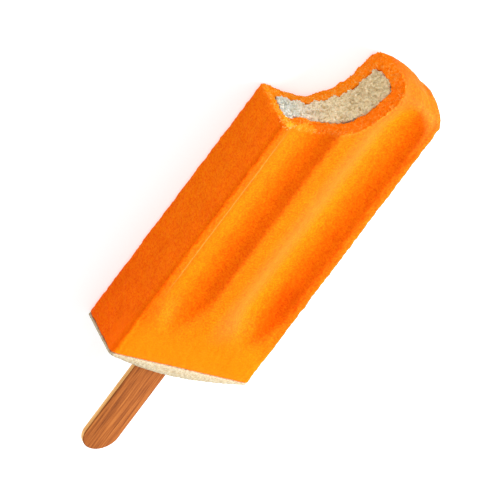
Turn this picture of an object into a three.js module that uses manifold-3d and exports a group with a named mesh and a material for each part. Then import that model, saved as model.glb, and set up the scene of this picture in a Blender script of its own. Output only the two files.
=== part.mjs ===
// A fluted ice pop with a bite out of its tip: a fruit ice shell round a core of vanilla ice cream,
// on a flat wooden stick. It lies on its back. Millimetres, +Z up, +Y along the bar towards the tip,
// +X to the right seen from above. The origin is on the resting plane, under the middle of the whole.
import * as THREE from "three";
import { mergeVertices } from "three/addons/utils/BufferGeometryUtils.js";
import Module from "manifold-3d";

const wasm = await Module();
wasm.setup();

// The moulded bar. While it is built, its open end is at y = 0 and its middle plane at z = 0.
const WIDTH = 46;
const LENGTH = 102;
const THICKNESS = 16;
const SIDE_EDGE_RADIUS = 1.2;
const TIP_RADIUS = 5.7;
const TIP_CROWN = 5.3;

// The flutes, two on each face. Each is part of an oval tube whose axis is above the face. It sinks
// in gently near the base and rises out again before the tip, to end just above the face. Those of
// the back are shallow, because the bite's back rim is nearly straight.
const FLUTE_WIDTH = 15.4;
const FLUTE_DEPTH = 3.3;
const BACK_FLUTE_DEPTH = 1;
const FLUTE_AXIS_HEIGHT = 3;
const FLUTE_OFFSET = 12;
const FLUTE_START = 7.5;
const FLUTE_END = 99.5;
const FADE_AT_BASE = 15;
const FADE_AT_TIP = 13;
const END_ABOVE_FACE = 0.15;

// The layers: how thick the shell is, and the gap that keeps touching pieces apart
const WALL_AT_SIDES = 3.2;
const WALL_ON_FACES = 4.0;
const WALL_AT_TIP = 4.5;
const WALL_UNDER_FLUTES = 2.8;
const CORE_TIP_RADIUS = 2.2;
const FIT_GAP = 0.3;

// The ice cream that stands out of the shell's open base
const CAP_HEIGHT = 2.9;
const CAP_RIM = 0.4;
const CAP_EDGE_RADIUS = 1.3;

// The stick
const STICK_WIDTH = 10.7;
const STICK_THICKNESS = 1.6;
const STICK_LENGTH = 93;
const STICK_SHOWING = 36;
const STICK_OFFSET = -0.9;
const STICK_EDGE_RADIUS = 0.3;

// The bite, a rounded scoop with its middle at x, y. It is wider on the front face than on the back.
const BITE_FRONT = { x: -11, y: 104, right: 17.3, left: 40, deep: 23.1, squareness: 2.2 };
const BITE_BACK = { x: -13, y: 103.5, right: 14.4, left: 60, deep: 22.0, squareness: 3.1 };
const BITE_HOLLOW = 0.2;
const BITE_BACK_LIP = 0.35;
const TOOTH_PITCH = 8.5;
const TOOTH_DEPTH = 0.6;
const TOOTH_SEAM = -13;

// The crags in the bitten surfaces: how far they stand out and how wide they are
const SHELL_CRAGS = { height: 0.22, pitch: 2.2, depth: 0 };
const CORE_CRAGS = { height: 0.4, pitch: 1.8, depth: 0.1 };
const FINE_CRAG_SIZE = 0.43;
const FINE_CRAG_SHARE = 0.6;

// How finely the round shapes are drawn
const FACE_PANELS = 12;
const CORNER_STEPS = 4;
const TIP_STEPS = 7;
const FADE_STEPS = 9;
const CAP_STEPS = 4;
const FLUTE_FACETS = 64;
const STICK_END_FACETS = 24;
const BITE_FACETS = 150;
const BITE_LAYERS = 22;

const MARGIN = 1;
const NARROWEST_EDGE = 0.2;
const QUARTER_TURN = Math.PI / 2;
const { lerp, smoothstep } = THREE.MathUtils;

// Turns a closed geometry into a solid that can be joined and cut.
function solidOf(geometry) {
  const bare = geometry.clone();
  for (const name of ["normal", "uv"]) bare.deleteAttribute(name);
  const merged = mergeVertices(bare, 1e-4);
  const mesh = new wasm.Mesh({
    numProp: 3,
    vertProperties: merged.getAttribute("position").array,
    triVerts: new Uint32Array(merged.index.array),
  });
  return new wasm.Manifold(mesh);
}

function geometryOf(solid) {
  const mesh = solid.getMesh();
  const geometry = new THREE.BufferGeometry();
  geometry.setAttribute("position", new THREE.BufferAttribute(mesh.vertProperties, 3));
  geometry.setIndex(new THREE.BufferAttribute(mesh.triVerts, 1));
  geometry.computeVertexNormals();
  return geometry;
}

function closedSolid(positions, faces) {
  const geometry = new THREE.BufferGeometry();
  geometry.setAttribute("position", new THREE.Float32BufferAttribute(positions, 3));
  geometry.setIndex(faces);
  return solidOf(geometry);
}

// Smooth noise from -1 to 1, the same on every run: random values on a cubic lattice, blended.
function latticeValue(i, j, k) {
  const wave = Math.sin(i * 127.1 + j * 311.7 + k * 74.7) * 43758.5453;
  return 2 * (wave - Math.floor(wave)) - 1;
}

function noise(...point) {
  const cell = point.map(Math.floor);
  const ease = point.map((value, axis) => smoothstep(value - cell[axis], 0, 1));
  let sum = 0;
  for (let corner = 0; corner < 8; corner++) {
    const step = [corner & 1, (corner >> 1) & 1, corner >> 2];
    const weight = step.reduce((product, on, axis) => product * (on ? ease[axis] : 1 - ease[axis]), 1);
    sum += weight * latticeValue(cell[0] + step[0], cell[1] + step[1], cell[2] + step[2]);
  }
  return sum;
}

// One section across the bar, a rectangle with round corners: its front half from right to left,
// then its back half from left to right. yAt places each point along the bar, so a section can bow.
function section({ halfWidth, halfThickness, corner, yAt }) {
  const radius = Math.min(corner, halfThickness - NARROWEST_EDGE / 2);
  const front = [];
  const addCorner = (centre, from) => {
    for (let n = 0; n <= CORNER_STEPS; n++) {
      const angle = from + (n / CORNER_STEPS) * QUARTER_TURN;
      front.push([centre + radius * Math.cos(angle), halfThickness - radius * (1 - Math.sin(angle))]);
    }
  };
  addCorner(halfWidth - radius, 0);
  for (let n = 1; n < FACE_PANELS; n++) {
    front.push([(halfWidth - radius) * (1 - (2 * n) / FACE_PANELS), halfThickness]);
  }
  addCorner(radius - halfWidth, QUARTER_TURN);
  const back = front.map(([x, z]) => [x, -z]).reverse();
  return [...front, ...back].map(([x, z]) => [x, yAt(x), z]);
}

// Joins sections, given from the base towards the tip, into a closed solid. Each end is closed by
// strips from every front point to the back point under it.
function loft(sections) {
  const count = sections[0].length;
  const last = (sections.length - 1) * count;
  const faces = [];
  const quad = (a, b, c, d) => faces.push(a, b, c, a, c, d);
  for (let ring = 0; ring < last; ring += count) {
    for (let n = 0; n < count; n++) {
      const next = (n + 1) % count;
      quad(ring + n, ring + count + n, ring + count + next, ring + next);
    }
  }
  for (let n = 0; n + 1 < count / 2; n++) {
    const under = count - 1 - n;
    quad(under, n, n + 1, under - 1);
    quad(last + n, last + under, last + under - 1, last + n + 1);
  }
  return closedSolid(sections.flat(2), faces);
}

// The bar without its flutes, drawn in by the given amounts, from yStart to its crowned, rounded tip.
function plainBar({ sides = 0, faces = 0, tip = 0, yStart = 0, radius = TIP_RADIUS }) {
  const halfWidth = WIDTH / 2 - sides;
  const halfThickness = THICKNESS / 2 - faces;
  const shoulder = LENGTH - tip - radius;
  const crown = (x) => TIP_CROWN * Math.min(1, Math.abs(x) / (halfWidth - radius)) ** 2;
  const sections = [section({ halfWidth, halfThickness, corner: SIDE_EDGE_RADIUS, yAt: () => yStart })];
  for (let n = 0; n <= TIP_STEPS; n++) {
    const angle = (n / TIP_STEPS) * QUARTER_TURN;
    const drawnIn = radius * (1 - Math.cos(angle));
    const ring = section({
      halfWidth: halfWidth - drawnIn,
      halfThickness: halfThickness - drawnIn,
      corner: lerp(SIDE_EDGE_RADIUS, radius, Math.sin(angle)),
      yAt: (x) => shoulder - crown(x) + radius * Math.sin(angle),
    });
    sections.push(ring);
  }
  return loft(sections);
}

// The long round tool that leaves one flute, on the front (side 1) or the back (side -1).
// wall is the thickness left between this flute and the outer one, for an inner layer.
function fluteTool(x, side, wall) {
  const depth = side > 0 ? FLUTE_DEPTH : BACK_FLUTE_DEPTH;
  const radius = depth + FLUTE_AXIS_HEIGHT;
  const halfWidthUnstretched = Math.sqrt(radius ** 2 - FLUTE_AXIS_HEIGHT ** 2);
  const fade = [];
  for (let n = 0; n <= FADE_STEPS; n++) fade.push(n / FADE_STEPS);
  const risen = (share) => (depth + END_ABOVE_FACE) * smoothstep(share, 0, 1);
  const reachAt = (share) => radius + wall - risen(share);
  const atBase = fade.map((share) => [reachAt(share), FLUTE_START + FADE_AT_BASE * (1 - share)]).reverse();
  const atTip = fade.map((share) => [reachAt(share), FLUTE_END - FADE_AT_TIP * (1 - share)]);
  const profile = [[0, atBase[0][1]], ...atBase, ...atTip, [0, atTip.at(-1)[1]]];
  const points = profile.map(([reach, y]) => new THREE.Vector2(reach, y));
  const tool = new THREE.LatheGeometry(points, FLUTE_FACETS);
  tool.scale(FLUTE_WIDTH / 2 / halfWidthUnstretched, 1, 1);
  tool.translate(x, 0, side * (THICKNESS / 2 + FLUTE_AXIS_HEIGHT));
  return solidOf(tool);
}

function flutedBar(drawnIn, wall = 0) {
  let bar = plainBar(drawnIn);
  for (const x of [-FLUTE_OFFSET, FLUTE_OFFSET]) {
    for (const side of [1, -1]) bar = bar.subtract(fluteTool(x, side, wall));
  }
  return bar;
}

// How far the crags and tooth marks push the bitten wall into the bar at a point.
function biteRelief(x, y, z, { height, pitch, depth }) {
  const tooth = TOOTH_DEPTH * (Math.abs(Math.sin((Math.PI * (x - TOOTH_SEAM)) / TOOTH_PITCH)) - 0.5);
  const coarse = noise(x / pitch, y / pitch, z / pitch);
  const finePitch = pitch * FINE_CRAG_SIZE;
  const fine = noise(x / finePitch, y / finePitch, z / finePitch);
  return depth + tooth + height * (coarse + FINE_CRAG_SHARE * fine);
}

// The mouthful that was taken: a stack of squarish ovals from below the back to above the front.
function biteTool(crags) {
  const positions = [];
  const faces = [];
  for (let layer = 0; layer <= BITE_LAYERS; layer++) {
    const share = layer / BITE_LAYERS;
    const z = lerp(-THICKNESS / 2 - MARGIN, THICKNESS / 2 + MARGIN, share);
    const at = (size, along = share) => lerp(BITE_BACK[size], BITE_FRONT[size], along);
    const power = 2 / at("squareness", smoothstep(share, 0, BITE_BACK_LIP));
    const squared = (value) => Math.sign(value) * Math.abs(value) ** power;
    const hollow = BITE_HOLLOW * (1 - (2 * share - 1) ** 2);
    for (let n = 0; n < BITE_FACETS; n++) {
      const angle = (n / BITE_FACETS) * 4 * QUARTER_TURN;
      const [toSide, toTip] = [Math.cos(angle), Math.sin(angle)];
      const x = at("x") + at(toSide > 0 ? "right" : "left") * squared(toSide);
      const y = at("y") + at("deep") * squared(toTip);
      const push = hollow + biteRelief(x, y, z, crags);
      positions.push(x + push * toSide, y + push * toTip, z);
    }
  }
  const top = BITE_LAYERS * BITE_FACETS;
  for (let layer = 0; layer < top; layer += BITE_FACETS) {
    for (let n = 0; n < BITE_FACETS; n++) {
      const here = layer + n;
      const beside = layer + ((n + 1) % BITE_FACETS);
      faces.push(here, beside, beside + BITE_FACETS, here, beside + BITE_FACETS, here + BITE_FACETS);
    }
  }
  for (let n = 1; n + 1 < BITE_FACETS; n++) {
    faces.push(0, n + 1, n);
    faces.push(top, top + n, top + n + 1);
  }
  return closedSolid(positions, faces);
}

// The ice cream that stands proud of the base: a low pillow, highest in the middle of the bar.
function baseCap() {
  const height = (x) => CAP_RIM + CAP_HEIGHT * Math.max(0, 1 - (x / (WIDTH / 2)) ** 2);
  const sections = [];
  const addRing = (drawnIn, rise) => {
    const ring = section({
      halfWidth: WIDTH / 2 - drawnIn,
      halfThickness: THICKNESS / 2 - drawnIn,
      corner: SIDE_EDGE_RADIUS,
      yAt: (x) => -FIT_GAP - rise * height(x),
    });
    sections.unshift(ring);
  };
  addRing(0, 0);
  for (let n = 1; n <= CAP_STEPS; n++) {
    const angle = (n / CAP_STEPS) * QUARTER_TURN;
    addRing(CAP_EDGE_RADIUS * (1 - Math.cos(angle)), Math.sin(angle));
  }
  return loft(sections);
}

// A flat stick with round ends. With grow it is the slot that holds the stick.
function stickBlank(grow = 0) {
  const half = STICK_WIDTH / 2;
  const lower = half - STICK_SHOWING;
  const upper = STICK_LENGTH - STICK_SHOWING - half;
  const outline = new THREE.Shape();
  outline.absarc(0, upper, half + grow, 0, 2 * QUARTER_TURN);
  outline.absarc(0, lower, half + grow, 2 * QUARTER_TURN, 4 * QUARTER_TURN);
  const flatDepth = STICK_THICKNESS + 2 * (grow - STICK_EDGE_RADIUS);
  const blank = new THREE.ExtrudeGeometry(outline, {
    depth: flatDepth,
    curveSegments: STICK_END_FACETS,
    bevelThickness: STICK_EDGE_RADIUS,
    bevelSize: STICK_EDGE_RADIUS,
    bevelOffset: -STICK_EDGE_RADIUS,
    bevelSegments: 2,
  });
  blank.translate(STICK_OFFSET, 0, -flatDepth / 2);
  return solidOf(blank);
}

// The shell is open at the base, where the ice cream shows.
function iceShell() {
  const cavity = {
    sides: WALL_AT_SIDES,
    faces: WALL_ON_FACES,
    tip: WALL_AT_TIP,
    yStart: -MARGIN,
    radius: CORE_TIP_RADIUS + FIT_GAP,
  };
  const hollowBar = flutedBar({}).subtract(flutedBar(cavity, WALL_UNDER_FLUTES));
  return hollowBar.subtract(biteTool(SHELL_CRAGS));
}

// The ice cream fills the shell, is bitten with it, and holds the stick in its slot.
function iceCream() {
  const filling = {
    sides: WALL_AT_SIDES + FIT_GAP,
    faces: WALL_ON_FACES + FIT_GAP,
    tip: WALL_AT_TIP + FIT_GAP,
    yStart: -FIT_GAP - CAP_RIM,
    radius: CORE_TIP_RADIUS,
  };
  const bitten = flutedBar(filling, WALL_UNDER_FLUTES + FIT_GAP).subtract(biteTool(CORE_CRAGS));
  return bitten.add(baseCap()).subtract(stickBlank(FIT_GAP));
}

const FRUIT_ICE = new THREE.MeshStandardMaterial({ color: 0xff8c0a, roughness: 0.5, metalness: 0 });
const VANILLA = new THREE.MeshStandardMaterial({ color: 0xe6d4b2, roughness: 0.75, metalness: 0 });
const BIRCH = new THREE.MeshStandardMaterial({ color: 0xcd7034, roughness: 0.65, metalness: 0 });

function piece(name, solid, material) {
  const mesh = new THREE.Mesh(geometryOf(solid), material);
  mesh.name = name;
  return mesh;
}

const icePop = new THREE.Group();
icePop.add(
  piece("fruit_ice_shell", iceShell(), FRUIT_ICE),
  piece("ice_cream_core", iceCream(), VANILLA),
  piece("stick", stickBlank(), BIRCH),
);

// Laid down so that the middle of the whole is over the origin and the back rests at z = 0.
const extent = new THREE.Box3().setFromObject(icePop);
icePop.position.set(0, -(extent.min.y + extent.max.y) / 2, -extent.min.z);

export default icePop;
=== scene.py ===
# %% [markdown]
# A fluted ice pop with a bite out of its tip lies on its back on a pale floor. A moulded shell of
# orange fruit ice holds a core of vanilla ice cream, and a flat wooden stick is frozen into it.
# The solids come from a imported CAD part, in metres, with +Y from the stick to the tip, +X to the
# right seen from above, and the resting plane at z = 0. This lesson dresses those solids: each
# gets a finer mesh with the crags, grain and soft edges of the real thing, and a procedural
# material.

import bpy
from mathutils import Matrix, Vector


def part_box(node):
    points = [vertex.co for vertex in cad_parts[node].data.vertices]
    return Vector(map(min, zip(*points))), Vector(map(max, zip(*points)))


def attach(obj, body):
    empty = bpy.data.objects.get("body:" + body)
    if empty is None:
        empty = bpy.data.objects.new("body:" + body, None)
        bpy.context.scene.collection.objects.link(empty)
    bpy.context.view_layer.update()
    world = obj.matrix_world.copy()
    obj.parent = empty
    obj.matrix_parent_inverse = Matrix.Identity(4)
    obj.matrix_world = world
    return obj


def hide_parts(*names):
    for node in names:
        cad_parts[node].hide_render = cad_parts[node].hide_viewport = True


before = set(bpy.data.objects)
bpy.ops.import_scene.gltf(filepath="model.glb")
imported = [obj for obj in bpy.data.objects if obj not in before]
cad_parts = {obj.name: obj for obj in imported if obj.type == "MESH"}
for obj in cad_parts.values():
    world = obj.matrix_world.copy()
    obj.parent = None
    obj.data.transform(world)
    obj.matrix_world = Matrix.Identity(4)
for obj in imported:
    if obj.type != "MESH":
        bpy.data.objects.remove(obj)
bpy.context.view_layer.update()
print("CAD nodes:", sorted(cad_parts))

# %% [markdown]
# Every place on the bar is said the way a mould maker would say it: x across from the middle,
# `along` from the open base towards the tip, and `up` from the resting plane, all in
# millimetres. The frame gives where the base is, so nothing here has to be fitted by eye.

# %% Places on the bar
import math
import random
import bpy
import numpy as np
from mathutils import Quaternion, Vector

MM = 0.001
shell_low, shell_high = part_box("fruit_ice_shell")
stick_low, stick_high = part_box("stick")
BASE_Y = shell_low.y / MM
HALF_WIDTH = shell_high.x / MM
THICKNESS = shell_high.z / MM
LENGTH = shell_high.y / MM - BASE_Y


def on_bar(x, along, up):
    """A point given in millimetres on the bar, in metres in the frame."""
    return Vector((x, BASE_Y + along, up)) * MM


print(f"bar: {2 * HALF_WIDTH:.1f} wide, {LENGTH:.1f} long, {THICKNESS:.1f} thick, in mm")

# %% [markdown]
# Operators act on whatever is selected, and the loader leaves the solids selected. So each step
# deselects everything first and then picks its own piece. Faces and vertices are picked by where
# they are and which way they point, with arrays, because these meshes have tens of thousands of
# faces.

# %% Helpers that pick pieces and faces
def pick(piece):
    bpy.ops.object.select_all(action="DESELECT")
    piece.select_set(True)
    bpy.context.view_layer.objects.active = piece


def face_table(piece):
    """The middle of each face as (x, along, up) in mm, and its normal, as two arrays."""
    mesh = piece.data
    centres = np.zeros(3 * len(mesh.polygons))
    normals = np.zeros(3 * len(mesh.polygons))
    mesh.polygons.foreach_get("center", centres)
    mesh.polygons.foreach_get("normal", normals)
    return centres.reshape(-1, 3) / MM - [0, BASE_Y, 0], normals.reshape(-1, 3)


def vertex_table(piece):
    """Each vertex's place as (x, along, up) in mm, and its normal, as two arrays."""
    mesh = piece.data
    places = np.zeros(3 * len(mesh.vertices))
    normals = np.zeros(3 * len(mesh.vertices))
    mesh.vertices.foreach_get("co", places)
    mesh.vertex_normals.foreach_get("vector", normals)
    return places.reshape(-1, 3) / MM - [0, BASE_Y, 0], normals.reshape(-1, 3)


def edit_faces(piece, chosen):
    """Enters edit mode with only the chosen faces selected."""
    mesh = piece.data
    pick(piece)
    bpy.context.tool_settings.mesh_select_mode = (False, False, True)
    mesh.vertices.foreach_set("select", np.zeros(len(mesh.vertices), bool))
    mesh.edges.foreach_set("select", np.zeros(len(mesh.edges), bool))
    mesh.polygons.foreach_set("select", chosen)
    bpy.ops.object.mode_set(mode="EDIT")


def leave_edit():
    bpy.ops.object.mode_set(mode="OBJECT")


def triangles(piece):
    piece.data.calc_loop_triangles()
    return len(piece.data.loop_triangles)


# %% [markdown]
# A frozen piece isn't a drawing of flat facets: its surface is continuous, with relief at every
# scale. It could be sculpted, or built again from primitives. Here a copy of the solid is used,
# because the bite and flutes must stay exactly where the solid has them. The copy's loose
# triangles are merged, then a voxel remesh lays small even faces over the form, and a light
# smoothing takes out the facets that the solid was drawn with.

# %% Helpers that turn a solid into a fine mesh
MERGE_MM = 0.001


def merged_copy(node, name):
    piece = bpy.data.objects.new(name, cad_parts[node].data.copy())
    bpy.context.scene.collection.objects.link(piece)
    pick(piece)
    bpy.ops.object.mode_set(mode="EDIT")
    bpy.ops.mesh.select_all(action="SELECT")
    bpy.ops.mesh.remove_doubles(threshold=MERGE_MM * MM)
    leave_edit()
    piece.data.materials.clear()
    return piece


def apply_modifier(piece, kind, name, **settings):
    pick(piece)
    modifier = piece.modifiers.new(name, kind)
    for setting, value in settings.items():
        setattr(modifier, setting, value)
    bpy.ops.object.modifier_apply(modifier=modifier.name)


def even_faces(piece, size_mm, smoothings):
    apply_modifier(piece, "REMESH", "even_faces", mode="VOXEL", voxel_size=size_mm * MM)
    apply_modifier(piece, "SMOOTH", "no_facets", factor=0.5, iterations=smoothings)


def thin_out(piece, hidden, share):
    """Keeps only a share of the triangles of faces that nobody can see."""
    edit_faces(piece, hidden)
    bpy.ops.mesh.decimate(ratio=share)
    leave_edit()


def halve_faces(piece, chosen):
    """Cuts each chosen face in half along and across."""
    edit_faces(piece, chosen)
    bpy.ops.mesh.subdivide(number_cuts=1)
    leave_edit()


# %% [markdown]
# Much of this lesson says how strongly a place takes part in something, such as the bite, the
# melting or the frost. That is a share from 0 to 1 for each vertex. Painting it by hand wouldn't
# repeat, so it is worked out from where the vertex is. It is kept twice: as a vertex group, which
# modifiers read, and as an attribute, which materials read and the exported mesh keeps.

# %% Helpers that give each vertex a share
def rise(values, none_at, full_at):
    """A share that goes evenly from 0 at one value to 1 at the other, and stays there beyond."""
    return np.clip((values - none_at) / (full_at - none_at), 0, 1)


def strip(values, middle, half_width, fade):
    """A share of 1 within half a width of the middle, which fades to 0 over the next stretch."""
    return rise(abs(values - middle), half_width + fade, half_width)


def keep_share(piece, name, share):
    group = piece.vertex_groups.new(name=name)
    steps = np.round(share * 10).astype(int)
    for step in range(1, 11):
        members = np.flatnonzero(steps == step)
        group.add([int(n) for n in members], step / 10, "REPLACE")
    attribute = piece.data.attributes.new(name + "_share", "FLOAT", "POINT")
    attribute.data.foreach_set("value", share.astype(np.float32))


def blurred(piece, share, times):
    """Spreads a share to neighbouring vertices, so that relief fades out and has no step."""
    ends = np.zeros(2 * len(piece.data.edges), int)
    piece.data.edges.foreach_get("vertices", ends)
    ends = ends.reshape(-1, 2)
    neighbours = np.bincount(ends.ravel(), minlength=len(share))
    for _ in range(times):
        sums = np.bincount(ends[:, 0], share[ends[:, 1]], len(share))
        sums += np.bincount(ends[:, 1], share[ends[:, 0]], len(share))
        share = (share + sums / neighbours) / 2
    return share


# %% [markdown]
# Relief is pushed into the mesh with the Displace modifier and a cloud texture whose grain has a
# real size. A vertex group says how strongly each place takes part, so the bitten ice can be
# craggy while the moulded skin stays nearly smooth. Hard noise gives sharp creases, as in torn
# ice cream, and soft noise gives round lumps. `middle` is the grey that stays where it is.

# %% Helper that pushes relief into a surface
def relief(piece, name, grain_mm, depth_mm, group, rough=False, middle=0.5):
    texture = bpy.data.textures.new(name, "CLOUDS")
    texture.noise_scale = grain_mm * MM
    texture.noise_depth = 2
    texture.noise_type = "HARD_NOISE" if rough else "SOFT_NOISE"
    apply_modifier(
        piece, "DISPLACE", name,
        texture=texture, texture_coords="LOCAL", direction="NORMAL",
        strength=depth_mm * MM, mid_level=middle, vertex_group=group,
    )
    bpy.data.textures.remove(texture)


# %% [markdown]
# The bite is the only place where both layers show their insides. Teeth came from the tip's left,
# so the bitten wall faces a point out beyond it. A place belongs to the bite when it looks
# towards that point and lies near it. One rule serves the shell and the core.

# %% Find the bitten wall
BITE_MIDDLE_X = -11.0
BITE_MIDDLE_ALONG = 104.0
BITE_LOWEST_ALONG = 76.0
BITE_RIGHT_END_X = 7.2
BESIDE_LEFT_FACE_MM = 0.3
LOOKS_PAST = 0.3
LOOKS_AT_TEETH = 0.7
HARDLY_BITTEN = 0.02
SURELY_BITTEN = 0.2


def bitten_share(places, normals):
    """How surely each place is on the bitten wall, from 0 to 1."""
    x, along = places[:, 0], places[:, 1]
    towards_x = BITE_MIDDLE_X - x
    towards_tip = BITE_MIDDLE_ALONG - along
    distance = np.hypot(towards_x, towards_tip) + 1e-9
    looking = (normals[:, 0] * towards_x + normals[:, 1] * towards_tip) / distance
    near = (along > BITE_LOWEST_ALONG) & (x < BITE_RIGHT_END_X)
    near &= x > -HALF_WIDTH + BESIDE_LEFT_FACE_MM
    return rise(looking, LOOKS_PAST, LOOKS_AT_TEETH) * near


# %% [markdown]
# Teeth also crush the skin just outside the bite, so the front face has a fringe of opened ice.
# The bite's rim is close to a superellipse round the same point, so the formula of a superellipse
# says how far a place lies outside the rim. The fringe is widest at the left flute.

# %% Find the crushed fringe
RIM_REACH_ACROSS = 17.3
RIM_REACH_ALONG = 23.1
RIM_SQUARENESS = 2.2
FRINGE_MM = 0.9
FRINGE_EXTRA_MM = 1.8
FRINGE_WIDEST_X = -12.0
FRINGE_RIGHT_END_X = 6.0
FRONT_DEPTH_MM = 5.0


def fringe_share(places):
    """How surely each place of the front face is crushed ice outside the bite, from 0 to 1."""
    x, along, up = places.T
    sideways = (abs(x - BITE_MIDDLE_X) / RIM_REACH_ACROSS) ** RIM_SQUARENESS
    lengthways = (abs(along - BITE_MIDDLE_ALONG) / RIM_REACH_ALONG) ** RIM_SQUARENESS
    outside = ((sideways + lengthways) ** (1 / RIM_SQUARENESS) - 1) * RIM_REACH_ALONG
    width = FRINGE_MM + FRINGE_EXTRA_MM * strip(x, FRINGE_WIDEST_X, 2.4, 4.0)
    on_front = (up > THICKNESS - FRONT_DEPTH_MM) & (along > BITE_LOWEST_ALONG - 6)
    on_front &= (x > -HALF_WIDTH + 1) & (x < FRINGE_RIGHT_END_X)
    return np.clip((width - outside) / FRINGE_MM, 0, 1) * on_front


# %% [markdown]
# The shell is fruit ice, poured into a fluted mould, so its skin is smooth but for a fine bloom of
# frost and the slight waves of freezing. The solid's flutes end in sharp ridges. Ice leaves the
# mould with these melted round, so the faces between the outer edges are smoothed for longer. The
# left side of each flute and the flutes' starts near the base are softer still, so they are
# smoothed most. The edge at the open base stays as it is, where the pillow meets it.

# %% Shape the shell
SHELL_FACE_MM = 0.5
EDGE_LEFT_SHARP_MM = 1.2
BASE_LEFT_SHARP_MM = 0.8
FLUTE_MIDDLE = 12.0
FLUTE_HALF_WIDTH = 7.7
FLUTE_START_ALONG = 14.5
FLUTE_START_SOFTNESS = 0.25
RIDGE_SMOOTHINGS = 34
SOFT_RIDGE_SMOOTHINGS = 160
shell = merged_copy("fruit_ice_shell", "shell")
even_faces(shell, SHELL_FACE_MM, 3)

places, normals = vertex_table(shell)
x, along, up = places.T
from_edge = np.minimum(HALF_WIDTH - abs(x), LENGTH - along)
on_faces = abs(up - THICKNESS / 2) > THICKNESS / 4
melted = rise(from_edge, EDGE_LEFT_SHARP_MM, EDGE_LEFT_SHARP_MM + 2) * on_faces
melted *= (along > BASE_LEFT_SHARP_MM) & (bitten_share(places, normals) < 0.05)
across_flute = (abs(x) - FLUTE_MIDDLE) * np.sign(x) / FLUTE_HALF_WIDTH
soft_side = strip(across_flute, -0.9, 0.5, 0.5)
soft_start = FLUTE_START_SOFTNESS * strip(along, FLUTE_START_ALONG, 4.8, 8.0)
off_base = rise(along, 3, 7)
keep_share(shell, "melted", melted)
keep_share(shell, "soft_ridge", melted * off_base * np.maximum(soft_side, soft_start))
for name, iterations in (("melted", RIDGE_SMOOTHINGS), ("soft_ridge", SOFT_RIDGE_SMOOTHINGS)):
    apply_modifier(shell, "SMOOTH", name, factor=0.5, iterations=iterations, vertex_group=name)
print("shell after the remesh:", triangles(shell), "triangles")

# %% [markdown]
# Only the bite, which is looked at closely, gets smaller faces. The shell's inner walls lie
# against the ice cream where nobody looks, so they are thinned out to make room for that.

# %% Spend the faces where they show
INNER_SHARE = 0.12
INSIDE_SIDES_MM = 2.4
INSIDE_FACES_MM = 3.6
INSIDE_TIP_MM = 3.4
SIDE_WALL_MM = 4.5


def inside_shell(places, normals):
    """Faces of the shell's inner walls: away from every outer face, and not bitten."""
    x, along, up = places.T
    above_middle = up - THICKNESS / 2
    deep = abs(x) < HALF_WIDTH - INSIDE_SIDES_MM
    deep &= abs(above_middle) < THICKNESS / 2 - INSIDE_FACES_MM
    deep &= (along > 1) & (along < LENGTH - INSIDE_TIP_MM)
    faces_inwards = -np.sign(above_middle) * normals[:, 2] > -0.2
    on_side_wall = abs(x) >= HALF_WIDTH - SIDE_WALL_MM
    return deep & (faces_inwards | on_side_wall) & (bitten_share(places, normals) < HARDLY_BITTEN)


thin_out(shell, inside_shell(*face_table(shell)), INNER_SHARE)
halve_faces(shell, bitten_share(*face_table(shell)) > SURELY_BITTEN)
print("shell with a finer bite:", triangles(shell), "triangles")

# %% [markdown]
# Frost settles first where the form stands proud into the cold air. A baked map could find such
# places, but this part uses no images. Here a copy of the shell is worn smooth, and a place is
# proud by as much as it stands out of the worn form. This share is partly that frost and partly
# painted highlight: it is kept off the left edge and grows near the tip, where the light falls,
# and the wall between the flutes, which faces the lamp, carries a pale painted highlight of its own.

# %% Find where frost and painted highlight lie
WEAR_SMOOTHINGS = 60
PROUD_MM = 0.16
PAINTED_HIGHLIGHT_X = 5.2
bpy.ops.object.select_all(action="DESELECT")
worn_down = bpy.data.objects.new("worn_down", shell.data.copy())
bpy.context.scene.collection.objects.link(worn_down)
apply_modifier(worn_down, "SMOOTH", "wear", factor=0.5, iterations=WEAR_SMOOTHINGS)
worn_places = vertex_table(worn_down)[0]
bpy.data.objects.remove(worn_down)

places, normals = vertex_table(shell)
x, along, up = places.T
moulded = 1 - bitten_share(places, normals)
front = (up > THICKNESS - FRONT_DEPTH_MM) * moulded
proud = ((places - worn_places) * normals).sum(axis=1)
# Frost on proud ridges, with painted highlight where the light falls: off the left edge, near the tip.
ridge_frost_and_highlight = rise(proud, 0, PROUD_MM) * (x > -15) * moulded
ridge_frost_and_highlight *= rise(HALF_WIDTH - abs(x), 0.8, 2.3)
ridge_frost_and_highlight *= 0.1 + 0.5 * rise(along, LENGTH - 22, LENGTH - 14)
ridge_frost_and_highlight *= np.maximum(rise(up, THICKNESS - 8, THICKNESS - 3), 0.1)
# A painted highlight on the wall between the flutes, which faces the lamp.
painted_highlight = 0.7 * strip(x, PAINTED_HIGHLIGHT_X, 1.2, 4.0) * front * rise(along, 9, 17)
frost_and_highlight = np.maximum(ridge_frost_and_highlight, painted_highlight)
keep_share(shell, "frost", frost_and_highlight)
print(f"frost lies on {100 * (frost_and_highlight > 0.1).mean():.0f}% of the shell's vertices")
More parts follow.
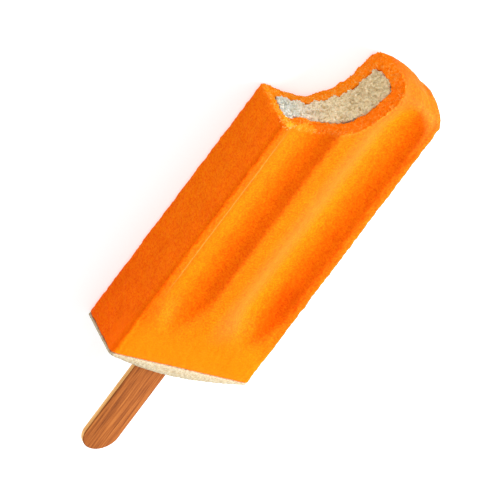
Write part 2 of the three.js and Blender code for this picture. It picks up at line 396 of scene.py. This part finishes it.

# %% [markdown]
# The clear share is painted shade, which deepens the orange. On this bar it lies along the outer
# edges, on the wall between the flutes, where the right flute starts, on the lower left side, at
# the tip and in the crushed fringe. Near the base the skin is smoother, and a fine pale line of
# painted highlight runs down the left flute's outer edge. Each of these is one share, drawn as
# strips across and along the bar.

# %% Find painted shade, smooth ice and the painted highlight line
LEFT_EDGE_X = -19.4
WALL_X = 5.0
RIGHT_FLUTE_X = 17.0
# The clear share below is painted shade: a deeper orange at these places.
off_base = rise(along, 6, 18)
edges = np.maximum(strip(x, LEFT_EDGE_X, 1.5, 3.0), 0.9 * rise(x, 19, 20)) * off_base
wall = 0.7 * strip(x, WALL_X, 1.5, 3.0) * rise(along, 9, 17)
flute_start = 0.7 * strip(x, RIGHT_FLUTE_X, 1.0, 2.5) * rise(along, 11, 14) * rise(along, 42, 27)
left_side = 0.9 * rise(along, 45, 0) * (x < -HALF_WIDTH + 0.8)
tip = 0.6 * rise(along, LENGTH - 12, LENGTH - 6)
on_front = np.maximum.reduce([edges, wall, flute_start]) * front
clear = np.maximum.reduce([on_front, left_side, tip, fringe_share(places)])
keep_share(shell, "clear", clear)
keep_share(shell, "smooth", rise(along, 15, 6) * front)
# The line share marks a painted highlight down the left flute's outer edge.
keep_share(shell, "line", rise(along, 20, 30) * rise(along, 82, 72) * front)
print(f"clear ice covers {100 * (clear > 0.1).mean():.0f}% of the shell's vertices")

# %% [markdown]
# The shell's relief comes in four kinds. Freezing leaves slow waves, 8 mm across. Frost gives the
# skin a fine grain. The long edges are crumbled. And the bite is torn, with crags and crumbs.
# The bitten share is blurred first, so that the crags fade into the skin at the rim.

# %% Give the shell its relief
BITE_BLUR = 8
CRUMBLED_MM = 2.5
places, normals = vertex_table(shell)
x, along, up = places.T
bitten = blurred(shell, bitten_share(places, normals), BITE_BLUR)
bitten = np.maximum(bitten, fringe_share(places))
keep_share(shell, "bitten", bitten)
keep_share(shell, "skin", 1 - bitten)
relief(shell, "waves_of_freezing", 8.0, 0.3, "skin", middle=0.6)
relief(shell, "frosty_skin", 1.1, 0.22, "skin", middle=0.6)
from_side = HALF_WIDTH - abs(x)
from_face = THICKNESS / 2 - abs(up - THICKNESS / 2)
crumbled = rise(np.minimum(from_side, from_face), CRUMBLED_MM, 0) * (from_side < 3)
keep_share(shell, "edges", crumbled * (1 - bitten))
relief(shell, "crumbled_edges", 2.2, 0.45, "edges", middle=0.6)
relief(shell, "bite_crags", 1.6, 0.7, "bitten")
relief(shell, "bite_crumbs", 0.7, 0.8, "bitten", rough=True)
print(f"relief on {(bitten > 0.5).sum()} bitten and {(bitten <= 0.5).sum()} moulded vertices")

# %% [markdown]
# Teeth splinter ice, and thin slivers of frost stay along the bite's front rim. One sliver is a
# small ball of twenty faces, pressed flat. Its copies are laid on the rim's own vertices, each
# turned and sized by a seeded random number, and joined into one piece.

# %% Lay frost slivers along the rim
SLIVERS = 46
SLIVER_LENGTH_MM = 0.5
SLIVER_LIFT_MM = 0.03
SLIVER_SEED = 5
SLIVERS_LEFT_OF_X = -5
random.seed(SLIVER_SEED)
places, normals = vertex_table(shell)
on_rim = (bitten > 0.06) & (bitten < 0.97) & (places[:, 2] > THICKNESS - 4.5)
on_rim &= places[:, 0] < SLIVERS_LEFT_OF_X
rim = [int(n) for n in np.flatnonzero(on_rim)]
slivers = []
for vertex in random.sample(rim, SLIVERS):
    length = SLIVER_LENGTH_MM * random.uniform(0.4, 1.3)
    bpy.ops.mesh.primitive_ico_sphere_add(subdivisions=1, radius=length * MM / 2)
    sliver = bpy.context.active_object
    bpy.ops.object.mode_set(mode="EDIT")
    bpy.ops.transform.resize(value=(1, random.uniform(0.3, 0.6), 0.25))
    leave_edit()
    lie_flat = Vector((0, 0, 1)).rotation_difference(Vector(normals[vertex]))
    sliver.rotation_mode = "QUATERNION"
    sliver.rotation_quaternion = lie_flat @ Quaternion((0, 0, 1), random.uniform(0, math.pi))
    sliver.location = on_bar(*places[vertex]) + Vector(normals[vertex]) * SLIVER_LIFT_MM * MM
    slivers.append(sliver)
bpy.ops.object.select_all(action="DESELECT")
for sliver in slivers:
    sliver.select_set(True)
bpy.ops.object.join()
frost_slivers = bpy.context.active_object
frost_slivers.name = frost_slivers.data.name = "frost_slivers"
bpy.ops.object.transform_apply(location=True, rotation=True, scale=True)
print("frost slivers:", triangles(frost_slivers), "triangles")

# %% [markdown]
# The core is aerated vanilla ice cream. It fills the shell, shows as the craggy band in the bite,
# and stands out of the base as a low pillow. In the solids a gap of 0.3 mm parts it from the
# shell, but real layers are frozen together, so the hidden sides swell until they reach just into
# the shell, and no dark line shows where the two meet. Close to the bite those sides are made
# ragged, and so the torn band gets its uneven rim. The pillow's shoulder is pushed to the shell.

# %% Shape the core
CORE_FACE_MM = 0.3
SWELL_MM = 0.45
HIDDEN_SHARE = 0.06
PILLOW_ENDS_ALONG = 0.6
RAGGED_FROM_ALONG = 70
core = merged_copy("ice_cream_core", "core")
even_faces(core, CORE_FACE_MM, 2)
places, normals = face_table(core)
hidden = (places[:, 1] > PILLOW_ENDS_ALONG) & (bitten_share(places, normals) < HARDLY_BITTEN)
thin_out(core, hidden, HIDDEN_SHARE)

places, normals = vertex_table(core)
along = places[:, 1]
bitten = bitten_share(places, normals)
keep_share(core, "in_shell", rise(along, 0.2, 0.8) * (1 - 0.6 * bitten))
apply_modifier(
    core, "DISPLACE", "reach_into_shell",
    strength=SWELL_MM * MM, mid_level=0, vertex_group="in_shell",
)
keep_share(core, "near_bite", rise(along, RAGGED_FROM_ALONG, RAGGED_FROM_ALONG + 3) * (1 - bitten))
relief(core, "ragged_band", 1.8, 1.8, "near_bite", middle=0.45)
relief(core, "ragged_rim", 0.8, 1.2, "near_bite", rough=True, middle=0.45)

places, normals = face_table(core)
edit_faces(core, (places[:, 1] < 0.1) & (normals[:, 1] > 0.6))
bpy.ops.transform.translate(value=(0, SWELL_MM * MM, 0))
leave_edit()
halve_faces(core, bitten_share(*face_table(core)) > SURELY_BITTEN)
print("core:", triangles(core), "triangles")

# %% [markdown]
# Torn ice cream has lumps of a millimetre or two, with curled, creased edges where it parted. So
# the bitten face gets soft crags first and hard, creased noise over them. The scraped pillow only
# gets the shallow pits of open bubbles.

# %% Give the core its relief
places, normals = vertex_table(core)
bitten = bitten_share(places, normals)
pillow = rise(places[:, 1], 0.8, 0.5)
keep_share(core, "bitten", bitten)
keep_share(core, "pillow", pillow)
relief(core, "torn_crags", 1.8, 1.5, "bitten", middle=0.35)
relief(core, "torn_curls", 1.1, 1.7, "bitten", rough=True, middle=0.45)
relief(core, "porous_pillow", 0.7, 0.3, "pillow", middle=0.6)
print(f"relief on {(bitten > 0.5).sum()} torn and {(pillow > 0.5).sum()} pillow vertices")

# %% [markdown]
# The stick is a strip of birch, stamped out with round ends and sanded. A coin is added at its
# free end, and half of its rim is pulled along the bar until it is as long as the stick. The
# sharp rims are then bevelled, as sanding leaves them.

# %% Shape the stick
STICK_EDGE_MM = 0.35
STICK_SIDES = 96
stick_width = stick_high.x - stick_low.x
stick_thickness = stick_high.z - stick_low.z
stick_middle = (stick_low + stick_high) / 2
round_end_y = stick_low.y + stick_width / 2
bpy.ops.object.select_all(action="DESELECT")
bpy.ops.mesh.primitive_cylinder_add(
    vertices=STICK_SIDES, radius=stick_width / 2, depth=stick_thickness,
    location=(stick_middle.x, round_end_y, stick_middle.z),
)
stick = bpy.context.active_object
stick.name = stick.data.name = "birch_stick"
bpy.ops.object.transform_apply(location=True, rotation=False, scale=False)

bpy.context.tool_settings.mesh_select_mode = (True, False, False)
bpy.ops.object.mode_set(mode="EDIT")
bpy.ops.mesh.select_all(action="DESELECT")
leave_edit()
for vertex in stick.data.vertices:
    vertex.select = vertex.co.y > round_end_y - 1e-6
bpy.ops.object.mode_set(mode="EDIT")
bpy.ops.transform.translate(value=(0, stick_high.y - stick_low.y - stick_width, 0))
leave_edit()
apply_modifier(
    stick, "BEVEL", "sanded_edges", width=STICK_EDGE_MM * MM, segments=4,
    limit_method="ANGLE", angle_limit=math.radians(60),
)
pick(stick)
bpy.ops.object.shade_smooth_by_angle(angle=math.radians(35))
print("stick:", triangles(stick), "triangles")

# %% [markdown]
# Every material starts from a few numbers: the colour of the real thing as an sRGB hex value, the
# refractive index and roughness usual for it, and the size of its grain in millimetres. One
# function turns hex to linear colour, one turns a grain size into a texture scale, and one adds
# a node with its settings and links. A Mix node for colours takes its share at input 0 and its
# two colours at 6 and 7, and gives its result at output 2.

# %% Helpers for materials
def linear(hex_colour):
    """An sRGB hex colour as linear red, green, blue and alpha."""
    channels = [int(hex_colour[start:start + 2], 16) / 255 for start in (1, 3, 5)]
    curve = [c / 12.92 if c <= 0.04045 else ((c + 0.055) / 1.055) ** 2.4 for c in channels]
    return (*curve, 1)


def grey(value):
    return (value, value, value, 1)


def scale_for(grain_mm):
    """The texture scale whose grain has this size, on Object coordinates in metres."""
    return 1 / (grain_mm * MM)


def add_node(material, kind, settings=None, inputs=None):
    """Adds a node, sets its settings, and sets or links its inputs."""
    tree = material.node_tree
    node = tree.nodes.new(kind)
    for name, value in (settings or {}).items():
        setattr(node, name, value)
    for name, value in (inputs or {}).items():
        if isinstance(value, bpy.types.NodeSocket):
            tree.links.new(value, node.inputs[name])
        else:
            node.inputs[name].default_value = value
    return node


def new_material(name):
    material = bpy.data.materials.new(name)
    material.use_nodes = True
    material.node_tree.nodes.clear()
    return material


def set_ramp(node, stops):
    """Gives a Color Ramp these stops, each a place and a colour."""
    ramp = node.color_ramp
    while len(ramp.elements) > 1:
        ramp.elements.remove(ramp.elements[-1])
    ramp.elements[0].position, ramp.elements[0].color = stops[0]
    for place, colour in stops[1:]:
        ramp.elements.new(place).color = colour


def dress(piece, material):
    piece.data.materials.append(material)
    print(piece.name, "wears", material.name, "of", len(material.node_tree.nodes), "nodes")


# %% [markdown]
# Fruit ice is frozen juice and pulp. Moulding leaves it a satin skin with a sandy bloom of frost,
# so its colour varies in fine grains and in soft clouds, and it settles smoother near the base.
# Real frost grains are about 0.1 mm, too fine to show here, so they are drawn at 0.55 mm.

# %% Colour of the moulded skin
SAND_MM = 0.55
CLOUD_MM = 6.0
SETTLED_MOST = 0.6


def moulded_skin(material, place, sand):
    body = add_node(material, "ShaderNodeValToRGB", inputs={"Fac": sand})
    set_ramp(body, [(0.36, linear("#E45601")), (0.5, linear("#F26E02")), (0.64, linear("#F37F05"))])
    clouds = add_node(material, "ShaderNodeTexNoise", inputs={
        "Vector": place, "Scale": scale_for(CLOUD_MM), "Detail": 3.0, "Roughness": 0.55})
    shade = add_node(material, "ShaderNodeValToRGB", inputs={"Fac": clouds.outputs["Fac"]})
    set_ramp(shade, [(0.3, linear("#F6F0EB")), (0.7, linear("#FFFFFF"))])
    sandy = add_node(material, "ShaderNodeMix", {"data_type": "RGBA", "blend_type": "MULTIPLY"}, {
        0: 1.0, 6: body.outputs["Color"], 7: shade.outputs["Color"]})
    smooth = add_node(material, "ShaderNodeAttribute", {"attribute_name": "smooth_share"})
    mostly = add_node(material, "ShaderNodeMath", {"operation": "MULTIPLY"}, {
        0: smooth.outputs["Fac"], 1: SETTLED_MOST})
    settled = add_node(material, "ShaderNodeMix", {"data_type": "RGBA"}, {
        0: mostly.outputs["Value"], 6: sandy.outputs[2], 7: linear("#F57503")})
    return settled.outputs[2]


# %% [markdown]
# The bite breaks the ice open. It is rougher there, with pale crystals that catch the light in
# short, bent strokes. They are the peaks of a distorted noise, and only the bitten share has them.

# %% Colour of the bitten ice
CRYSTAL_MM = 0.75


def bitten_ice(material, place, skin):
    bitten = add_node(material, "ShaderNodeAttribute", {"attribute_name": "bitten_share"}).outputs["Fac"]
    opened = add_node(material, "ShaderNodeMix", {"data_type": "RGBA"}, {
        0: bitten, 6: skin, 7: linear("#FC8606")})
    crystals = add_node(material, "ShaderNodeTexNoise", inputs={
        "Vector": place, "Scale": scale_for(CRYSTAL_MM),
        "Detail": 4.0, "Roughness": 0.85, "Distortion": 1.2})
    peaks = add_node(material, "ShaderNodeMapRange", inputs={
        "Value": crystals.outputs["Fac"],
        "From Min": 0.53, "From Max": 0.6, "To Min": 0.0, "To Max": 0.9})
    sparks = add_node(material, "ShaderNodeMath", {"operation": "MULTIPLY"}, {
        0: peaks.outputs["Result"], 1: bitten})
    sparkling = add_node(material, "ShaderNodeMix", {"data_type": "RGBA"}, {
        0: sparks.outputs["Value"], 6: opened.outputs[2], 7: linear("#FFBA5C")})
    return sparkling.outputs[2]


# %% [markdown]
# Over that lie the finer differences: a thin pale frost that is partly painted highlight, and
# painted shade that deepens the colour. Frost and highlight cover the colour under them, so they
# are mixed in. The painted shade multiplies the colour to a deeper orange.

# %% Colour of frost with painted highlight, and of painted shade
FROST_AND_HIGHLIGHT_MOST = 0.3
PAINTED_SHADE_TINT = (1.0, 0.72, 0.5, 1)


def with_frost_highlight_and_shade(material, ice):
    # The frost share is frost with painted highlight, mixed in as a pale orange.
    frost_and_highlight_there = add_node(material, "ShaderNodeAttribute", {"attribute_name": "frost_share"})
    thin_frost_and_highlight = add_node(material, "ShaderNodeMath", {"operation": "MULTIPLY"}, {
        0: frost_and_highlight_there.outputs["Fac"], 1: FROST_AND_HIGHLIGHT_MOST})
    frost_and_highlight = add_node(material, "ShaderNodeMix", {"data_type": "RGBA"}, {
        0: thin_frost_and_highlight.outputs["Value"], 6: ice, 7: linear("#FF8A46")})
    # The clear share is painted shade, multiplied in as a deeper orange.
    painted_shade_there = add_node(material, "ShaderNodeAttribute", {"attribute_name": "clear_share"})
    with_painted_shade = add_node(material, "ShaderNodeMix", {"data_type": "RGBA", "blend_type": "MULTIPLY"}, {
        0: painted_shade_there.outputs["Fac"], 6: frost_and_highlight.outputs[2], 7: PAINTED_SHADE_TINT})
    return with_painted_shade.outputs[2]


# %% [markdown]
# A painted highlight runs down the left flute as a fine pale line, a little lighter than the ice
# beside it. It is drawn where the distance from one x is smallest, and it fades out 0.3 mm to each
# side of its middle.

# %% Colour of the painted highlight line
LINE_X = -18.8
LINE_CORE_MM = 0.08
LINE_FADED_MM = 0.3
HIGHLIGHT_LINE_MOST = 0.28


def with_painted_highlight_line(material, place, ice):
    across = add_node(material, "ShaderNodeSeparateXYZ", inputs={"Vector": place})
    from_line = add_node(material, "ShaderNodeMath", {"operation": "SUBTRACT"}, {
        0: across.outputs["X"], 1: LINE_X * MM})
    aside = add_node(material, "ShaderNodeMath", {"operation": "ABSOLUTE"}, {
        0: from_line.outputs["Value"]})
    highlight_fade = add_node(material, "ShaderNodeMapRange", inputs={
        "Value": aside.outputs["Value"],
        "From Min": LINE_FADED_MM * MM, "From Max": LINE_CORE_MM * MM, "To Max": HIGHLIGHT_LINE_MOST})
    line_there = add_node(material, "ShaderNodeAttribute", {"attribute_name": "line_share"})
    line = add_node(material, "ShaderNodeMath", {"operation": "MULTIPLY"}, {
        0: highlight_fade.outputs["Result"], 1: line_there.outputs["Fac"]})
    # The pale line is a painted highlight.
    highlight_lined = add_node(material, "ShaderNodeMix", {"data_type": "RGBA"}, {
        0: line.outputs["Value"], 6: ice, 7: linear("#FFA060")})
    return highlight_lined.outputs[2]


# %% [markdown]
# Light goes a little way into ice and comes out more orange, so it glows where it is thin: that
# is the subsurface part, which lets red travel farthest. Its index is that of ice, 1.31, and the
# sandy frost leaves almost no gloss. The same grains that colour the skin also dent it a little.

# %% Fruit ice
def fruit_ice():
    material = new_material("fruit_ice_moulded")
    place = add_node(material, "ShaderNodeTexCoord").outputs["Object"]
    sand = add_node(material, "ShaderNodeTexNoise", inputs={
        "Vector": place, "Scale": scale_for(SAND_MM), "Detail": 3.0, "Roughness": 0.85})
    skin = moulded_skin(material, place, sand.outputs["Fac"])
    ice = bitten_ice(material, place, skin)
    colour = with_painted_highlight_line(material, place, with_frost_highlight_and_shade(material, ice))
    bump = add_node(material, "ShaderNodeBump", inputs={
        "Height": sand.outputs["Fac"], "Strength": 0.5, "Distance": 0.12 * MM})
    surface = add_node(material, "ShaderNodeBsdfPrincipled", inputs={
        "Base Color": colour, "Normal": bump.outputs["Normal"],
        "Roughness": 0.6, "IOR": 1.31, "Specular IOR Level": 0.04, "Subsurface Weight": 0.2,
        "Subsurface Radius": (1.0, 0.4, 0.1), "Subsurface Scale": 0.8 * MM})
    add_node(material, "ShaderNodeOutputMaterial", inputs={"Surface": surface.outputs["BSDF"]})
    return material


dress(shell, fruit_ice())

# %% [markdown]
# The slivers are splinters of the same fruit ice, so thin that light scatters before it takes on
# much colour. They look pale orange and dull. At half a millimetre they need no pattern of their
# own: their shape is all that shows.

# %% Frost
def frost():
    material = new_material("frost")
    surface = add_node(material, "ShaderNodeBsdfPrincipled", inputs={
        "Base Color": linear("#FFA65C"), "Roughness": 0.5, "IOR": 1.31,
        "Specular IOR Level": 0.3, "Subsurface Weight": 0.3,
        "Subsurface Radius": (1.0, 0.7, 0.5), "Subsurface Scale": 0.3 * MM})
    add_node(material, "ShaderNodeOutputMaterial", inputs={"Surface": surface.outputs["BSDF"]})
    return material


dress(frost_slivers, frost())

# %% [markdown]
# Vanilla ice cream is a foam of milk fat and ice, so it is matt and slightly see-through. Where
# it was torn it is craggy, and the foam texture paints warm shade into pits and a little light
# onto crests. Its body colour across the bar is painted light and shade: cooler and greyer at the
# bite's left end, lightest in the middle and darker at the right end. Real bubbles are under
# 0.1 mm, too fine to show, so the foam is drawn coarser, at 1 mm.

# %% Colour of the torn ice cream
TORN_LEFT_X = -17
TORN_RIGHT_X = 4
FOAM_MM = 1.0


def torn_cream(material, place):
    across = add_node(material, "ShaderNodeSeparateXYZ", inputs={"Vector": place})
    # The body colour across the bar is painted light and shade.
    toward_right = add_node(material, "ShaderNodeMapRange", inputs={
        "Value": across.outputs["X"], "From Min": TORN_LEFT_X * MM, "From Max": TORN_RIGHT_X * MM})
    body = add_node(material, "ShaderNodeValToRGB", inputs={"Fac": toward_right.outputs["Result"]})
    set_ramp(body, [
        (0.0, linear("#D3D4C9")), (0.35, linear("#F0E0C6")),
        (0.55, linear("#F2E1BE")), (1.0, linear("#E2CFA6"))])
    foam = add_node(material, "ShaderNodeTexNoise", inputs={
        "Vector": place, "Scale": scale_for(FOAM_MM), "Detail": 4.0, "Roughness": 0.7})
    # Darker pits and lighter crests are painted shade and painted light.
    painted_pits_and_crests = add_node(material, "ShaderNodeValToRGB", inputs={"Fac": foam.outputs["Fac"]})
    set_ramp(painted_pits_and_crests, [(0.3, linear("#DCCBB0")), (0.5, grey(1.0)), (0.7, grey(1.08))])
    torn = add_node(material, "ShaderNodeMix", {"data_type": "RGBA", "blend_type": "MULTIPLY"}, {
        0: 1.0, 6: body.outputs["Color"], 7: painted_pits_and_crests.outputs["Color"]})
    return torn.outputs[2]


# %% [markdown]
# The pillow at the base was scraped level, and its cut bubbles give it a fine brown and cream
# speckle, drawn at 0.5 mm. The pillow's share chooses between the two looks of one ice cream.

# %% Ice cream
SPECKLE_MM = 0.5
BUBBLE_MM = 0.6


def vanilla_ice_cream():
    material = new_material("vanilla_ice_cream")
    place = add_node(material, "ShaderNodeTexCoord").outputs["Object"]
    fine_foam = add_node(material, "ShaderNodeTexNoise", inputs={
        "Vector": place, "Scale": scale_for(SPECKLE_MM), "Detail": 3.0, "Roughness": 0.8})
    speckle = add_node(material, "ShaderNodeValToRGB", inputs={"Fac": fine_foam.outputs["Fac"]})
    set_ramp(speckle, [(0.36, linear("#A78C68")), (0.5, linear("#B7A98C")), (0.64, linear("#C3B89E"))])
    pillow_there = add_node(material, "ShaderNodeAttribute", {"attribute_name": "pillow_share"})
    colour = add_node(material, "ShaderNodeMix", {"data_type": "RGBA"}, {
        0: pillow_there.outputs["Fac"], 6: torn_cream(material, place), 7: speckle.outputs["Color"]})
    bubbles = add_node(material, "ShaderNodeTexNoise", inputs={
        "Vector": place, "Scale": scale_for(BUBBLE_MM), "Detail": 3.0, "Roughness": 0.6})
    bump = add_node(material, "ShaderNodeBump", inputs={
        "Height": bubbles.outputs["Fac"], "Strength": 0.6, "Distance": 0.2 * MM})
    surface = add_node(material, "ShaderNodeBsdfPrincipled", inputs={
        "Base Color": colour.outputs[2], "Normal": bump.outputs["Normal"],
        "Roughness": 0.65, "IOR": 1.35, "Specular IOR Level": 0.2, "Subsurface Weight": 0.2,
        "Subsurface Radius": (1.0, 0.7, 0.4), "Subsurface Scale": 0.5 * MM})
    add_node(material, "ShaderNodeOutputMaterial", inputs={"Surface": surface.outputs["BSDF"]})
    return material


dress(core, vanilla_ice_cream())

# %% [markdown]
# The stick is birch, sliced from the log and sanded, with straight fine grain. Its faces are
# warm brown, and its edges are a paler copy of the same wood, which is painted light on the
# stick's sides. The grain is long noise: the same texture, stretched many times along the stick.
# Real fibres are under 0.1 mm wide, too fine to show, so they are drawn as bundles of 0.55 mm.

# %% Birch
FIBRE_MM = 0.55
FIBRE_STRETCH = 40
FACE_BROWNS = ("#663212", "#94501E", "#AE682E")
EDGE_BROWNS_PAINTED_LIGHT = ("#CC8E50", "#E6AE68", "#F2C282")


def birch(name, dark, middle, light):
    material = new_material(name)
    place = add_node(material, "ShaderNodeTexCoord").outputs["Object"]
    stretched = add_node(material, "ShaderNodeMapping", inputs={
        "Vector": place, "Scale": (1, 1 / FIBRE_STRETCH, 1)})
    fibres = add_node(material, "ShaderNodeTexNoise", inputs={
        "Vector": stretched.outputs["Vector"], "Scale": scale_for(FIBRE_MM),
        "Detail": 5.0, "Roughness": 0.75})
    colour = add_node(material, "ShaderNodeValToRGB", inputs={"Fac": fibres.outputs["Fac"]})
    set_ramp(colour, [(0.36, linear(dark)), (0.5, linear(middle)), (0.64, linear(light))])
    bump = add_node(material, "ShaderNodeBump", inputs={
        "Height": fibres.outputs["Fac"], "Strength": 0.3, "Distance": 0.08 * MM})
    surface = add_node(material, "ShaderNodeBsdfPrincipled", inputs={
        "Base Color": colour.outputs["Color"], "Normal": bump.outputs["Normal"],
        "Roughness": 0.6, "IOR": 1.5, "Specular IOR Level": 0.12})
    add_node(material, "ShaderNodeOutputMaterial", inputs={"Surface": surface.outputs["BSDF"]})
    return material


dress(stick, birch("birch_darker_face", *FACE_BROWNS))
dress(stick, birch("birch_edge_painted_light", *EDGE_BROWNS_PAINTED_LIGHT))
# Faces that point sideways take the paler copy: painted light on the stick's edges.
normals = face_table(stick)[1]
stick.data.polygons.foreach_set("material_index", (abs(normals[:, 2]) < 0.5).astype(np.int32))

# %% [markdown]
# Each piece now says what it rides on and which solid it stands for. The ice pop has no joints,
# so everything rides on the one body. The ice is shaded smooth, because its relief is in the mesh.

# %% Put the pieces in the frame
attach(frost_slivers, "root")
for piece in (shell, core):
    pick(piece)
    bpy.ops.object.shade_smooth()

for piece, node, slot in (
    (shell, "fruit_ice_shell", "fruit_ice"),
    (core, "ice_cream_core", "ice_cream"),
    (stick, "stick", "stick_wood"),
):
    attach(piece, "root")
    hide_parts(node)
    print(piece.name, "stands for", node, "with", triangles(piece), "triangles")

# %% [markdown]
# The camera stands to the bar's left and above, on the tip's side, far away behind a long lens, so
# that the bar's edges stay parallel as the photograph shows them. It is rolled until the stick
# points to the lower left. The image is 500 pixels square, and one millimetre is 3.945 pixels in
# the plane that lies 10.4 mm behind the aim.

# %% Camera
AZIMUTH = 233.586
ELEVATION = 39.656
ROLL = 152.273
PIXELS_PER_MM = 3.945
IMAGE_PIXELS = 500
LENS_MM = 1500
AIM = on_bar(-5.56, 41.31, THICKNESS)
SCALE_PLANE_BEHIND_AIM_MM = 10.4


def direction(azimuth, elevation):
    """From the object towards a place seen at this azimuth and elevation, in degrees."""
    a, e = math.radians(azimuth), math.radians(elevation)
    return Vector((math.sin(a) * math.cos(e), -math.cos(a) * math.cos(e), math.sin(e)))


camera_data = bpy.data.cameras.new("camera")
camera_data.lens = LENS_MM
distance = IMAGE_PIXELS / PIXELS_PER_MM * camera_data.lens / camera_data.sensor_width * MM
camera_data.clip_end = 3 * distance
camera = bpy.data.objects.new("camera", camera_data)
bpy.context.scene.collection.objects.link(camera)
back = direction(AZIMUTH, ELEVATION)
camera.location = AIM + back * (distance - SCALE_PLANE_BEHIND_AIM_MM * MM)
camera.rotation_mode = "QUATERNION"
roll = Quaternion((0, 0, 1), math.radians(ROLL))
camera.rotation_quaternion = (-back).to_track_quat("-Z", "Y") @ roll
bpy.context.scene.camera = camera
print(f"camera {distance:.2f} m away")

# %% [markdown]
# The photograph shows the bar on pure white, with no shadow. A floor of plain paper would carry a
# clear one. So this pale floor reflects half of the light and glows by itself as well, like a
# light table, and its shadow stays faint. It lies just under the lowest relief of the ice.

# %% Floor
FLOOR_BELOW_MM = 0.16
FLOOR_REFLECTS = 0.5
FLOOR_GLOWS = 0.63
bpy.ops.object.select_all(action="DESELECT")
bpy.ops.mesh.primitive_plane_add(size=6, location=(0, 0, -FLOOR_BELOW_MM * MM))
floor = bpy.context.active_object
floor.name = "floor"
glowing_paper = new_material("glowing_paper")
surface = add_node(glowing_paper, "ShaderNodeBsdfPrincipled", inputs={
    "Base Color": grey(FLOOR_REFLECTS), "Roughness": 1.0, "Specular IOR Level": 0.0,
    "Emission Color": grey(1), "Emission Strength": FLOOR_GLOWS})
add_node(glowing_paper, "ShaderNodeOutputMaterial", inputs={"Surface": surface.outputs["BSDF"]})
floor.data.materials.append(glowing_paper)

# %% [markdown]
# The light is a plain soft studio: a white room that lights everything evenly, and one broad
# lamp low on the right. It rakes across the flutes, so that their left walls are bright and
# their right walls fall into soft shade, which is what makes them read as deep.

# %% Light
ROOM_BRIGHTNESS = 0.92


def soft_lamp(name, azimuth, elevation, distance_m, size_m, watts):
    lamp_data = bpy.data.lights.new(name, "AREA")
    lamp_data.shape = "DISK"
    lamp_data.size = size_m
    lamp_data.energy = watts
    lamp = bpy.data.objects.new(name, lamp_data)
    bpy.context.scene.collection.objects.link(lamp)
    towards = direction(azimuth, elevation)
    lamp.location = on_bar(0, LENGTH / 2, THICKNESS) + towards * distance_m
    lamp.rotation_mode = "QUATERNION"
    lamp.rotation_quaternion = (-towards).to_track_quat("-Z", "Y")
    return lamp


world = bpy.data.worlds.new("white_room")
world.use_nodes = True
world.node_tree.nodes["Background"].inputs["Color"].default_value = grey(1)
world.node_tree.nodes["Background"].inputs["Strength"].default_value = ROOM_BRIGHTNESS
bpy.context.scene.world = world
lamp = soft_lamp("key", azimuth=102, elevation=32, distance_m=0.4, size_m=0.19, watts=3.6)
bpy.context.scene.view_settings.view_transform = "Standard"
print("one lamp at", [round(c, 3) for c in lamp.location])
